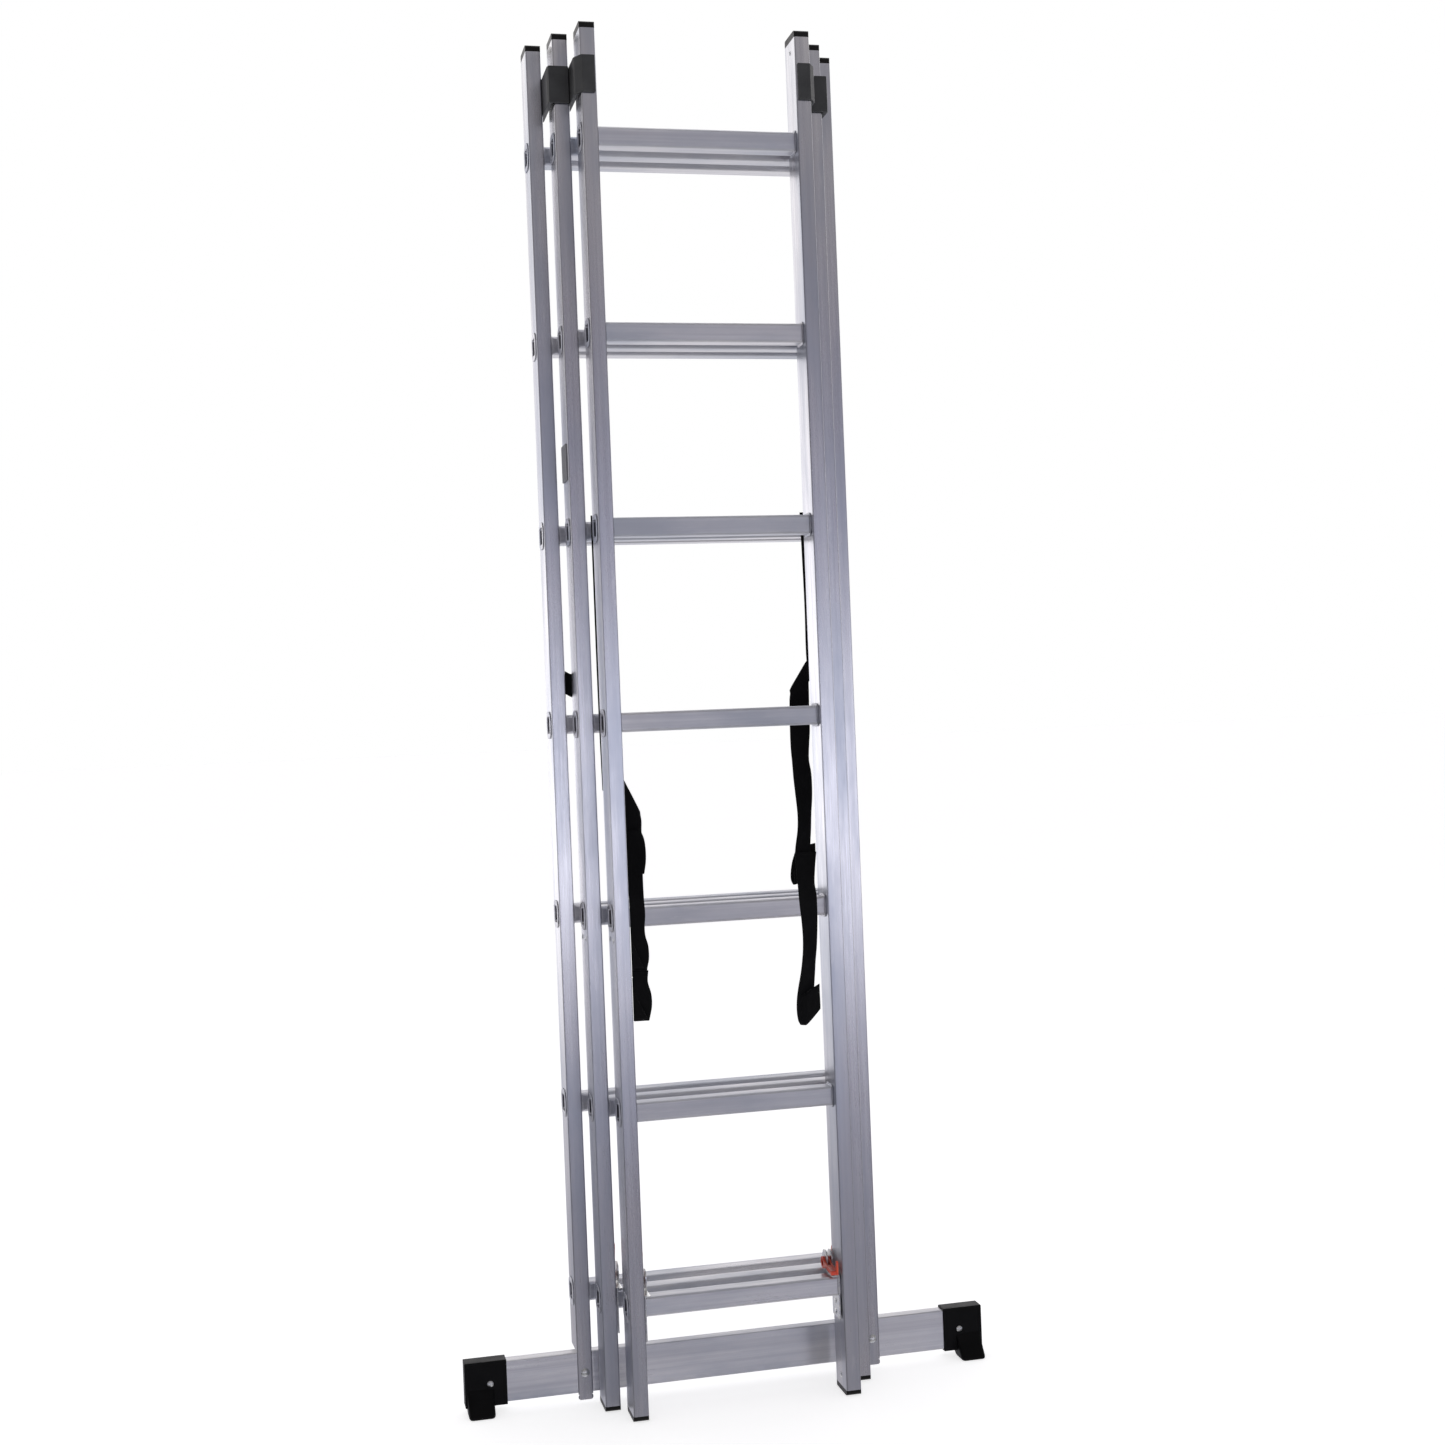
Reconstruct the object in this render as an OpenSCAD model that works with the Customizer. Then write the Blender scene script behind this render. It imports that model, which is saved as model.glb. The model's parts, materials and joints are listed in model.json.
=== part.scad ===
// Three-section combination ladder: a wide base section on a stabiliser bar,
// a middle section that slides up it, and a front section that slides and
// swings out on swivel guides. Millimetres, +Z up, front of the ladder to -Y.

/* [Sections] */
// Pitch of the rungs
rung_pitch = 280; // [230:5:300]
// Number of rungs in each section
rung_count = 7; // [3:1:7]
// Half of the outside width of the front section
front_half = 169.5; // [140:0.5:220]
// How much wider each section is than the next, per side
nest_step = 31.5; // [30:0.5:36]
// Depth from one section to the next
depth_step = 53.1; // [50:0.1:60]

/* [Stiles] */
// Width of a stile, across the ladder
stile_w = 22.3; // [20:0.1:24]
// Depth of a stile, front to back
stile_d = 54.4; // [48:0.1:56]
// Wall of a stile
stile_wall = 1.8; // [1.4:0.1:2.4]
// Corner radius of a stile
stile_r = 2.4; // [1.9:0.1:4]
// Length of the aluminium above the lowest rung's centre, past the top rung
top_reach = 149; // [130:1:170]
// Centre of the lowest rung above the ground
low_rung = 157.9; // [130:0.1:200]

/* [Rungs] */
// Side of the square rung tube
rung_s = 28; // [24:0.5:30]
// Corner radius of the rung tube
rung_r = 4; // [2:0.5:5]
// Wall of the rung tube
rung_wall = 1.8; // [1.2:0.1:2.4]
// Side of the swaged flange on the outer face of the stile
flange_s = 40; // [34:1:44]
// How far a flange or bead stands proud of the stile
flange_t = 1.8; // [1:0.1:2]

/* [Caps and feet] */
// Height of the visible part of a stile's top cap
cap_h = 10; // [7:0.1:14]
// Height of the visible part of a foot
foot_h = 7.8; // [7:0.1:14]
// Radius of the cap's front and rear corners, seen from the side
cap_r = 5.5; // [2:0.5:7]
// Depth of the cap's plug inside the stile
plug_h = 26; // [15:1:40]

/* [Stabiliser] */
// Height of the bar
bar_h = 60; // [50:1:80]
// Thickness of the bar
bar_t = 20; // [15:1:30]
// Wall of the bar
bar_wall = 2; // [1.5:0.1:3]
// Underside of the bar above the ground
bar_z = 13.3; // [10:0.1:30]
// Half of the width over the boots
boot_half = 398; // [330:1:600]
// Width of a boot's sleeve along the bar
boot_w = 61.5; // [45:0.5:90]
// Wall of a boot's sleeve
boot_wall = 2.6; // [2:0.1:4]
// How far the toe of a boot stands in front of its sleeve
toe_reach = 24; // [10:1:30]

/* [Guides] */
// Height of a guide
guide_h = 53; // [40:1:70]
// Height of the guides' centres above the ground
guide_z = 1921; // [1900:1:1930]
// Depth of a guide behind its front lip
guide_d = 90; // [80:1:96]
// Thickness of a guide's front lip
lip_t = 4; // [3:0.1:6]

/* [Hooks and levers] */
// Width of a locking lever across the ladder
lever_w = 5; // [4:0.1:6]
// Thickness of a hook bracket's cheeks
cheek_t = 2; // [1.5:0.1:3]
// Swing of a locking lever, in degrees, from parked to locked
lever_swing = 185; // [170:1:190]
// How far the left levers are turned from locked, in degrees
left_lever_turn = 100; // [80:1:185]

/* [Straps] */
// Width of the webbing
strap_w = 34; // [25:1:40]
// Thickness of a strap, folded double
strap_t = 4; // [2:0.5:5]
// Height at which the left strap comes out from behind its stile
left_fold_z = 930; // [800:10:1100]
// Height at which the right strap comes out from behind its stile
right_fold_z = 1083; // [800:1:1100]

/* [Hidden] */

// Sections are numbered from the front: 0 front, 1 middle, 2 back
FRONT = 0;
MIDDLE = 1;
BACK = 2;
RIGHT = 1;
LEFT = -1;
$fn = 48;

fit_gap = 0.1;                                  // hole over shank, on the radius
pin_gap = 0.06;                                 // running fit of a pin, on the radius
body_gap = 0.5;                                 // between parts that slide past each other
lip_gap = 0.5;                                  // front lip of a guide to the stile it holds
mid_y = (lip_t + lip_gap) / 2;                  // centres the whole ladder on y = 0
stile_gap = nest_step - stile_w;                // side gap between neighbouring stiles
top_z = low_rung + (rung_count - 1) * rung_pitch + top_reach;
tongue_z = 3.6;                                 // lower end of the base section's stiles
tongue_r = 4;                                   // its corner radius
bar_y = section_y(BACK) - stile_d / 2 + stile_wall;
bar_mid_z = bar_z + bar_h / 2;
boot_screw_x = boot_half - 0.6 * boot_w;
shank_r = 2.4;                                  // rivets
head_r = 4.2;
head_t = 1.5;
bolt_r = 4;                                     // stabiliser and swivel bolts
bolt_head_r = 6.5;
nut_r = 7.5;                                    // across the corners
nut_h = 6.4;
bolt_tail = 0.6;                                // bolt past its nut
cap_rivet_z = 16;                               // cap rivets, from the end of the stile
cap_rivet_l = 9.8;
bead_w = 3;                                     // bead round the rung inside the stile
flange_round = 0.32;                            // flange corner radius, of its side
washer_rivet_z = low_rung + 2 * rung_pitch - 31.5;
washer_rivet_y = 15;
toe_inset = 20;                                 // toe from the inner end of its sleeve
toe_lean = 3;                                   // toe from the outer end of its sleeve
toe_heights = [34, 22, 10, 2.5];                // down the front of the toe, from the sleeve
heel_reach = [4, 8, 12, 16];                    // sole's rear corners, behind the sleeve's face
heel_rise = 3.5;
guide_plate_t = stile_gap - flange_t - body_gap;
guide_rivet_y = section_y(MIDDLE) - stile_d / 2 + guide_d - 22;
swivel_sink = 1.6;                              // swivel bolt head, let into its guide
lip_widths = [20, 21.8];                        // lips of the front and the middle guides
bevel_starts = [-1.5, stile_gap - 1.5];         // their bevels begin this far past the stile
bevel_depths = [9, -2.5];                       // and end this far behind the lip
lip_slant = 3.4;                                // slant of its inner edge, degrees
pad_h = 53;                                     // slide pads of the middle section
pad_z = low_rung + 4.36 * rung_pitch;
lever_y = 26;                                   // lever pivot, from the rung's centre
lever_z = 26;
lever_pin_r = 3;
lever_hub_r = 9;
lever_arm_t = 8;
lever_gap = 0.3;                                // lever to each cheek
lever_round = 3;
beak_t = 6;
beak_drop = 18;
beak_y = depth_step + rung_s / 2 + 1.6 - lever_y;
hook_w = lever_w + 2 * (cheek_t + lever_gap);
hump_r = 12;                                    // rounded top of a hook bracket
hump_top = 45;
hook_half_d = 18;                               // hook plate in front of and behind the rung's centre
hook_foot = 48;                                 // and below it
hook_rivets = [24, 40];                         // below the rung's centre
saddle_t = 2;
strap_in = inner_x(FRONT) - 3.7;                // edges of a strap, behind its stile
strap_out = half_w(FRONT) + flange_t;
strap_back = stile_d / 2 + strap_t / 2;
strap_hang_x = strap_in - 32.6;                 // inner edge where it hangs free
hang_inset = 0.4;                               // keeps its faces clear of the flat part's
strap_top = rung_z(3) + 22;
strap_rivet_z = strap_top - 10;
fold_h = 60;                                    // height of the slanting fold
fold_in_h = 46;                                 // the same, along its inner edge
hang_tilts = [0, 3.4];                          // lean of the hanging part, left and right
hang_z = 980;                                   // height that it leans about
end_above_rung = 80;                            // top of a sewn end, above the fourth rung
end_slope = 14;                                 // how far it droops
shade_alu = [0.72, 0.72, 0.74];
shade_black = [0.06, 0.06, 0.06];
shade_guide = [0.2, 0.2, 0.21];
shade_zinc = [0.78, 0.79, 0.8];
shade_red = [0.8, 0.15, 0.08];

function half_w(s) = front_half + s * nest_step;
function section_y(s) = mid_y + (s - 1) * depth_step;
function rung_z(i) = low_rung + (rung_count - i) * rung_pitch;
function stile_x(s) = half_w(s) - stile_w / 2;
function inner_x(s) = half_w(s) - stile_w;
function stile_bottom(s) = s == BACK ? tongue_z : foot_h;
function cap_rivet_heights(s) =
    s == BACK ? [top_z - cap_rivet_z] : [top_z - cap_rivet_z, stile_bottom(s) + cap_rivet_z];

module to_side(side) {
    if (side == RIGHT) children();
    else mirror([1, 0, 0]) children();
}

module both_sides() {
    children();
    mirror([1, 0, 0]) children();
}

module rounded(w, h, r) {
    square([w - 2 * r, h], center = true);
    square([w, h - 2 * r], center = true);
    for (x = [-1, 1], y = [-1, 1]) translate([x * (w / 2 - r), y * (h / 2 - r)]) circle(r);
}

// Extrudes a side view, drawn as (y, z), along X from x0 over a width w
module side_extrude(x0, w) {
    translate([x0, 0, 0]) rotate([90, 0, 90]) linear_extrude(w) children();
}

// A cylinder along X
module x_rod(x0, w, y, z, r) {
    translate([x0, y, z]) rotate([0, 90, 0]) cylinder(h = w, r = r);
}

// A rivet along X: shank from x0 over w, domed head at the end that dir points to
module x_rivet(x0, w, y, z, dir) {
    x_rod(x0, w, y, z, shank_r);
    face = dir > 0 ? x0 + w : x0;
    dome = (head_r * head_r + head_t * head_t) / (2 * head_t);
    intersection() {
        translate([face - dir * (dome - head_t), y, z]) rotate([0, 90, 0]) sphere(dome);
        x_rod(dir > 0 ? face : face - head_t, head_t, y, z, 2 * head_r);
    }
}

// ---- stiles ----

module stile(s, side) {
    y = section_y(s);
    z0 = stile_bottom(s);
    color(shade_alu) to_side(side) difference() {
        translate([stile_x(s), y, z0]) linear_extrude(top_z - z0) difference() {
            rounded(stile_w, stile_d, stile_r);
            rounded(stile_w - 2 * stile_wall, stile_d - 2 * stile_wall, stile_r - stile_wall);
        }
        for (i = [1:rung_count]) side_extrude(inner_x(s) - 1, stile_w + 2)
            translate([y, rung_z(i)]) rounded(rung_s + 2 * fit_gap, rung_s + 2 * fit_gap, rung_r);
        cap_rivet_holes(s);
        if (s == BACK) {
            tongue_cut();
            guide_rivet_holes();
        } else {
            for (dy = [-1, 1])
                x_rod(half_w(s) - stile_wall - 1, stile_wall + 2, y + dy * washer_rivet_y,
                      washer_rivet_z, shank_r + fit_gap);
            for (dz = hook_rivets)
                x_rod(inner_x(s) - 1, stile_wall + 2, y, low_rung - dz, shank_r + fit_gap);
        }
        if (s == MIDDLE)
            x_rod(inner_x(s) - 1, stile_wall + 2, y, guide_z, bolt_r + fit_gap);
        if (s == FRONT)
            translate([stile_x(s), y + stile_d / 2 - stile_wall - 1, strap_rivet_z])
                rotate([-90, 0, 0]) cylinder(h = stile_wall + 2, r = shank_r + fit_gap);
    }
}

module cap_rivet_holes(s) {
    for (z = cap_rivet_heights(s))
        x_rod(inner_x(s) - 1, stile_wall + 2, section_y(s), z, shank_r + fit_gap);
}

// Below the top of the bar only the front wall of the base stile is left, as a tongue
module tongue_cut() {
    translate([inner_x(BACK) - 1, bar_y, 0]) cube([stile_w + 2, stile_d, bar_z + bar_h]);
    translate([0, bar_y - stile_wall - 1, 0]) rotate([-90, 0, 0]) linear_extrude(stile_wall + 2)
        translate([stile_x(BACK), -tongue_z - tongue_r]) difference() {
            square([stile_w + 2, 2 * tongue_r], center = true);
            square([stile_w - 2 * tongue_r, 2 * tongue_r], center = true);
            for (dx = [-1, 1]) translate([dx * (stile_w / 2 - tongue_r), 0]) circle(tongue_r);
        }
    translate([stile_x(BACK), bar_y - stile_wall - 1, bar_mid_z]) rotate([-90, 0, 0])
        cylinder(h = stile_wall + 2, r = bolt_r + fit_gap);
}

// ---- rungs: a square tube with a swaged flange outside and a bead inside each stile ----

module rung(s, i) {
    hw = half_w(s);
    color(shade_alu) translate([0, section_y(s), rung_z(i)]) difference() {
        union() {
            side_extrude(-hw - flange_t, 2 * (hw + flange_t)) rounded(rung_s, rung_s, rung_r);
            both_sides() {
                side_extrude(hw, flange_t)
                    rounded(flange_s, flange_s, flange_s * flange_round);
                side_extrude(inner_x(s) - flange_t, flange_t)
                    rounded(rung_s + 2 * bead_w, rung_s + 2 * bead_w, rung_r + bead_w);
            }
        }
        side_extrude(-hw - 3, 2 * (hw + 3))
            rounded(rung_s - 2 * rung_wall, rung_s - 2 * rung_wall, rung_r - rung_wall);
    }
}

// ---- caps and feet: one plug shape, domed to the front and the rear ----

module cap_shape(s, h) {
    plug_w = stile_w - 2 * (stile_wall + fit_gap);
    plug_d = stile_d - 2 * (stile_wall + fit_gap);
    translate([0, section_y(s), 0]) difference() {
        union() {
            intersection() {
                side_extrude(inner_x(s), stile_w) union() {
                    translate([-stile_d / 2, 0]) square([stile_d, h - cap_r]);
                    translate([-stile_d / 2 + cap_r, 0]) square([stile_d - 2 * cap_r, h]);
                    for (dy = [-1, 1])
                        translate([dy * (stile_d / 2 - cap_r), h - cap_r]) circle(cap_r);
                }
                translate([stile_x(s), 0, 0]) linear_extrude(h) rounded(stile_w, stile_d, stile_r);
            }
            translate([stile_x(s), 0, -plug_h]) linear_extrude(plug_h)
                rounded(plug_w, plug_d, stile_r - stile_wall + 4 * fit_gap);
        }
        x_rod(inner_x(s) - 1, stile_w, 0, -cap_rivet_z, shank_r + fit_gap);
    }
}

module top_caps(s) {
    color(shade_black) both_sides() translate([0, 0, top_z]) cap_shape(s, cap_h);
}

module feet(s) {
    color(shade_black) both_sides() translate([0, 0, foot_h]) mirror([0, 0, 1]) cap_shape(s, foot_h);
}

// ---- rivets of each section ----

module section_rivets(s) {
    color(shade_zinc) both_sides() {
        for (z = cap_rivet_heights(s)) x_rivet(inner_x(s), cap_rivet_l, section_y(s), z, LEFT);
        if (s == BACK)
            for (dz = [-1, 1])
                x_rod(half_w(MIDDLE) + flange_t + body_gap, guide_plate_t + stile_wall,
                      guide_rivet_y, guide_z + dz * guide_h / 4, shank_r);
        else
            for (dy = [-1, 1]) x_rivet(half_w(s) - stile_wall, stile_wall,
                                       section_y(s) + dy * washer_rivet_y, washer_rivet_z, RIGHT);
        if (s == FRONT)
            translate([stile_x(s), section_y(s) + stile_d / 2 - stile_wall, strap_rivet_z])
                rotate([-90, 0, 0]) {
                    cylinder(h = stile_wall + strap_t, r = shank_r);
                    translate([0, 0, stile_wall + strap_t]) cylinder(h = head_t, r = head_r);
                }
    }
}

// ---- stabiliser bar, its bolts, boots and screws ----

module stabiliser_bar() {
    color(shade_alu) difference() {
        translate([-boot_half + boot_wall, bar_y + bar_t / 2, bar_mid_z])
            rotate([90, 0, 90]) linear_extrude(2 * (boot_half - boot_wall)) difference() {
                rounded(bar_t, bar_h, stile_r);
                rounded(bar_t - 2 * bar_wall, bar_h - 2 * bar_wall, stile_r - 1.6);
            }
        both_sides() {
            translate([stile_x(BACK), bar_y - 1, bar_mid_z]) rotate([-90, 0, 0])
                cylinder(h = bar_t + 2, r = bolt_r + fit_gap);
            translate([boot_screw_x, bar_y - 1, bar_mid_z]) rotate([-90, 0, 0])
                cylinder(h = bar_wall + 2, r = shank_r + fit_gap);
        }
    }
}

// Dome-headed bolt through the tongue and the bar, with a hexagon nut behind
module bar_bolts() {
    dome_h = 3;
    dome_r = 9;
    color(shade_zinc) both_sides()
        translate([stile_x(BACK), bar_y - stile_wall, bar_mid_z]) rotate([-90, 0, 0]) {
            cylinder(h = stile_wall + bar_t + nut_h + bolt_tail, r = bolt_r);
            intersection() {
                translate([0, 0, dome_r - dome_h]) sphere(dome_r);
                translate([0, 0, -dome_h]) cylinder(h = dome_h, r = bolt_head_r);
            }
            translate([0, 0, stile_wall + bar_t]) cylinder(h = nut_h, r = nut_r, $fn = 6);
        }
}

// Sleeve over the bar's end, and a toe that reaches forward to the ground
module boot(side) {
    sleeve_x = boot_half - boot_w;
    sleeve_y = bar_y - boot_wall;
    sleeve_z = bar_z - boot_wall;
    sole_y = sleeve_y - toe_reach;
    color(shade_black) to_side(side) difference() {
        union() {
            side_extrude(sleeve_x, boot_w) translate([bar_y + bar_t / 2, bar_mid_z])
                rounded(bar_t + 2 * boot_wall, bar_h + 2 * boot_wall, boot_wall + 0.4);
            side_extrude(sleeve_x + toe_inset, boot_w - toe_inset - toe_lean) polygon([
                [sleeve_y + 0.5, toe_heights[0]],
                [sleeve_y - 0.3 * toe_reach, toe_heights[1]],
                [sleeve_y - 0.72 * toe_reach, toe_heights[2]],
                [sole_y, toe_heights[3]],
                [sole_y + 2, 0],
                [sleeve_y + heel_reach[0], 0],
                [sleeve_y + heel_reach[2], heel_rise],
                [sleeve_y + heel_reach[3], sleeve_z + 2],
                [sleeve_y + heel_reach[1], sleeve_z + heel_reach[0]]]);
        }
        side_extrude(sleeve_x - 1, boot_w - boot_wall + 1)
            translate([bar_y + bar_t / 2, bar_mid_z])
                rounded(bar_t + 2 * fit_gap, bar_h + 2 * fit_gap, stile_r);
        translate([boot_screw_x, sleeve_y - 1, bar_mid_z]) rotate([-90, 0, 0])
            cylinder(h = boot_wall + 2, r = shank_r + fit_gap);
    }
}

module boot_screws() {
    pan_h = 2.6;
    pan_r = 4.6;
    dome_r = 6.5;
    socket_r = 1.4;
    socket_h = 1.2;
    color(shade_zinc) both_sides()
        translate([boot_screw_x, bar_y - boot_wall, bar_mid_z]) rotate([-90, 0, 0]) {
            cylinder(h = boot_wall + bar_wall + 3, r = shank_r);
            difference() {
                intersection() {
                    translate([0, 0, dome_r - pan_h]) sphere(dome_r);
                    translate([0, 0, -pan_h]) cylinder(h = pan_h, r = pan_r);
                }
                translate([0, 0, -pan_h - 1]) cylinder(h = socket_h + 1, r = socket_r, $fn = 6);
            }
        }
}

// ---- guides: a lip in front of the stile that slides, a bevel, and a plate beside it ----

module guide_rivet_holes() {
    for (dz = [-1, 1])
        x_rod(inner_x(BACK) - 1, stile_wall + 2, guide_rivet_y, guide_z + dz * guide_h / 4,
              shank_r + fit_gap);
}

// The guide for the stile of section s; clear is its gap to the wider stile beside it
module guide_shape(s, clear) {
    hw = half_w(s);
    front = section_y(s) - stile_d / 2 - lip_gap;
    wide = hw + stile_gap - clear;
    near = hw + flange_t + body_gap;
    lip_w = lip_widths[s];
    bevel_d = bevel_depths[s];
    difference() {
        translate([0, 0, guide_z - guide_h / 2]) linear_extrude(guide_h) polygon([
            [hw - lip_w, front - lip_t],
            [hw + bevel_starts[s], front - lip_t],
            [wide - 1.5, front + bevel_d],
            [wide, front + bevel_d + 4],
            [wide, front + guide_d - 4],
            [wide - 2, front + guide_d],
            [near, front + guide_d],
            [near, front + max(bevel_d - 1, 0.5)],
            [hw - 0.5, front],
            [hw - lip_w, front]]);
        translate([hw - lip_w, front - lip_t - 1, guide_z - guide_h / 2])
            rotate([0, -lip_slant, 0]) translate([-lip_w / 2, 0, -lip_t])
                cube([lip_w / 2, lip_t + 2, guide_h + 3 * lip_t]);
    }
}

module back_guide(side) {
    color(shade_guide) to_side(side) difference() {
        guide_shape(MIDDLE, 0);
        for (dz = [-1, 1])
            x_rod(half_w(MIDDLE), stile_gap + 1, guide_rivet_y, guide_z + dz * guide_h / 4,
                  shank_r + fit_gap);
    }
}

module swivel_guide(side) {
    near = half_w(FRONT) + flange_t + body_gap;
    color(shade_guide) to_side(side) difference() {
        guide_shape(FRONT, 0.4);
        x_rod(near - 1, stile_gap, section_y(MIDDLE), guide_z, bolt_r + pin_gap);
        x_rod(near - 1, 1 + body_gap + swivel_sink + 0.3, section_y(MIDDLE), guide_z,
              bolt_head_r + body_gap);
    }
}

// Pivot bolts of the swivel guides, their heads sunk in the guide, nuts inside the stile
module swivel_bolts() {
    near = half_w(FRONT) + flange_t + body_gap;
    head_x = near + body_gap;
    nut_x = inner_x(MIDDLE) + stile_wall;
    color(shade_zinc) both_sides() {
        x_rod(head_x, swivel_sink, section_y(MIDDLE), guide_z, bolt_head_r);
        x_rod(head_x, nut_x + nut_h + bolt_tail - head_x, section_y(MIDDLE), guide_z, bolt_r);
        translate([nut_x, section_y(MIDDLE), guide_z]) rotate([0, 90, 0])
            cylinder(h = nut_h, r = nut_r, $fn = 6);
    }
}

// Thin slide pads on the outer faces of the middle stiles
module middle_guide_pads() {
    pad_front = -stile_d / 2 + 9;
    pad_d = stile_d - 10.5;
    color(shade_guide) both_sides() side_extrude(half_w(MIDDLE), flange_t)
        translate([section_y(MIDDLE) + pad_front + pad_d / 2, pad_z])
            rounded(pad_d, pad_h, stile_r);
}

// ---- hook brackets, pins and levers, at the lowest rung ----

// A zinc plate beside the stile, a saddle over the rung and two humped cheeks
module hook_bracket(s, side) {
    collar_x = inner_x(s) - flange_t;
    hole = rung_s + 2 * fit_gap;
    color(shade_zinc) to_side(side) translate([0, section_y(s), low_rung]) difference() {
        union() {
            side_extrude(collar_x - cheek_t, cheek_t) union() {
                translate([-hook_half_d, -hook_foot])
                    square([2 * hook_half_d, hook_foot + hook_half_d]);
                hump();
            }
            side_extrude(collar_x - hook_w, cheek_t) hump();
            translate([collar_x - hook_w, -rung_s / 2, rung_s / 2])
                cube([hook_w, rung_s / 2 + lever_y, saddle_t]);
        }
        side_extrude(collar_x - hook_w - 1, hook_w + 2) rounded(hole, hole, rung_r);
        x_rod(collar_x - hook_w - 1, hook_w + 2, lever_y, lever_z, lever_pin_r + fit_gap);
        for (dz = hook_rivets)
            x_rod(collar_x - cheek_t - 1, cheek_t + 2, 0, -dz, shank_r + fit_gap);
    }
}

module hump() {
    translate([lever_y, hump_top - hump_r]) circle(hump_r);
    translate([lever_y - hump_r, rung_s / 2])
        square([2 * hump_r, hump_top - hump_r - rung_s / 2]);
}

module hook_pins(s) {
    collar_x = inner_x(s) - flange_t;
    color(shade_zinc) both_sides() translate([0, section_y(s), low_rung]) {
        x_rod(collar_x - hook_w, hook_w, lever_y, lever_z, lever_pin_r);
        x_rod(collar_x - hook_w - head_t, head_t, lever_y, lever_z, lever_pin_r + 2);
        for (dz = hook_rivets)
            x_rivet(collar_x - cheek_t, cheek_t + flange_t + stile_wall, 0, -dz, LEFT);
    }
}

// Red lever, drawn locked over the next rung and turned back: right parked, left upright
module lever(s, side) {
    lever_x = inner_x(s) - flange_t - cheek_t - lever_gap - lever_w;
    turn = side == RIGHT ? lever_swing : left_lever_turn;
    color(shade_red) to_side(side)
        translate([0, section_y(s) + lever_y, low_rung + lever_z]) rotate([turn, 0, 0])
            side_extrude(lever_x, lever_w) difference() {
                lever_outline();
                circle(lever_pin_r + pin_gap);
            }
}

module lever_outline() {
    reach = beak_y + beak_t - lever_round;
    circle(lever_hub_r);
    translate([0, -lever_arm_t / 2]) square([reach, lever_arm_t]);
    translate([reach, lever_arm_t / 2 - lever_round]) circle(lever_round);
    translate([beak_y, lever_round - beak_drop]) square([beak_t, beak_drop]);
    translate([beak_y + beak_t / 2, lever_round - beak_drop]) circle(beak_t / 2);
}

// ---- straps: webbing down behind the rungs, out over one rung, and back in a loop ----

function unit(v) = v / norm(v);
function aside(v) = [-v[1], v[0]];
function leg(path, i) = unit(path[min(i + 1, len(path) - 1)] - path[min(i, len(path) - 2)]);

// Offset of a bent line by d at its point i, mitred at the bends
function beside(path, i, d) =
    let (before = leg(path, max(i - 1, 0)),
         after = leg(path, i),
         middle = unit(aside(before) + aside(after)))
    path[i] + middle * d / (middle * aside(after));

// Outline of a band of thickness t along a bent line
function band(path, t) = concat(
    [for (i = [0:len(path) - 1]) beside(path, i, t / 2)],
    [for (i = [len(path) - 1:-1:0]) beside(path, i, -t / 2)]);

// Flat against the rear of its stile at the top, inward at the fold, then hanging free
module strap(side) {
    fold_z = side == RIGHT ? right_fold_z : left_fold_z;
    hang_tilt = hang_tilts[side == RIGHT ? 1 : 0];
    color(shade_black) to_side(side) translate([0, section_y(FRONT), 0]) difference() {
        union() {
            translate([0, strap_back + strap_t / 2, 0]) rotate([90, 0, 0])
                linear_extrude(strap_t) strap_top_outline(fold_z);
            translate([strap_hang_x, 0, hang_z]) rotate([0, hang_tilt, 0])
                translate([0, 0, -hang_z]) side_extrude(0, strap_w)
                    polygon(band(strap_route(fold_z - fold_h + 10), strap_t - hang_inset));
        }
        translate([stile_x(FRONT), strap_back - strap_t, strap_rivet_z]) rotate([-90, 0, 0])
            cylinder(h = 2 * strap_t, r = shank_r + fit_gap);
    }
}

// Front view of the part of a strap that lies flat, as (x, z)
module strap_top_outline(fold_z) {
    polygon([
        [strap_in, strap_top],
        [strap_out, strap_top],
        [strap_out, fold_z - 5],
        [strap_hang_x + strap_w, fold_z - fold_h],
        [strap_hang_x, fold_z - fold_h],
        [strap_hang_x, fold_z - fold_in_h],
        [strap_in, fold_z]]);
}

// Side view of the part that hangs: forward over the fifth rung, down, and back in a loop
function strap_route(start_z) =
    let (rung = rung_z(5), ahead = -rung_s / 2 - 4.5) [
        [strap_back, start_z],
        [strap_back, rung + 152],
        [8, rung + 72],
        [ahead, rung + 26],
        [ahead - 1, rung - 130],
        [-4, rung - 155],
        [8, rung - 120],
        [9, rung - 30]];

// The end of a strap that is sewn round and riveted to the inner face of a base stile
module strap_end(side) {
    out = inner_x(BACK);
    reach = stile_gap + stile_w - 1;
    end_h = strap_w + 8;
    end_z = rung_z(4) + end_above_rung;
    end_t = 3;
    end_y = section_y(MIDDLE) + stile_d / 2 + 2;
    color(shade_black) to_side(side) translate([0, end_y + end_t, 0]) rotate([90, 0, 0])
        linear_extrude(end_t) polygon([
            [out, end_z - end_h],
            [out, end_z],
            [out - reach, end_z - end_slope],
            [out - reach, end_z - end_slope - end_h]]);
}

// ---- the nodes ----

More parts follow.
